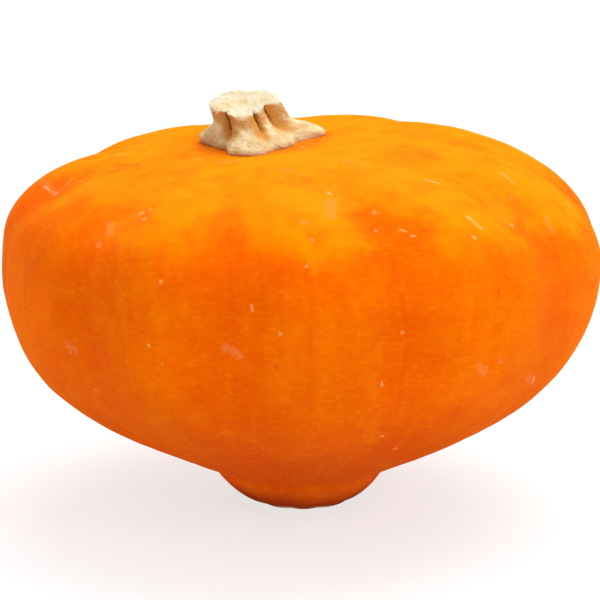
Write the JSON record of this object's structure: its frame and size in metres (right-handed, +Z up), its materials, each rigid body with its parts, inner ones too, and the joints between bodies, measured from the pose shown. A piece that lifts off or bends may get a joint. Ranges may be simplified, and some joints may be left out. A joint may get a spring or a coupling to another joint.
{
  "type": "acorn squash",
  "caption": "Whole orange acorn squash with a broad crown, faint ribs and a corky cut stem, standing on the button at its blossom end.",
  "frame": {"origin": "centre of the small flat under the button that the squash stands on", "axes": "+Z up from the blossom end to the stem, +X the squash's right side as its front is seen, -Y its front"},
  "size_m": [0.1598, 0.1543, 0.1114],
  "materials": {
    "orange_skin": "smooth waxy rind, satin, yellow-orange on the crown and deeper orange below, with pale specks and corky scars",
    "corky_stem": "dry corky stem, matte, cream ridges with brown hollows and a rough cut face"
  },
  "bodies": {
    "root": {"fruit": "orange_skin", "stem": "corky_stem"}
  },
  "joints": []
}
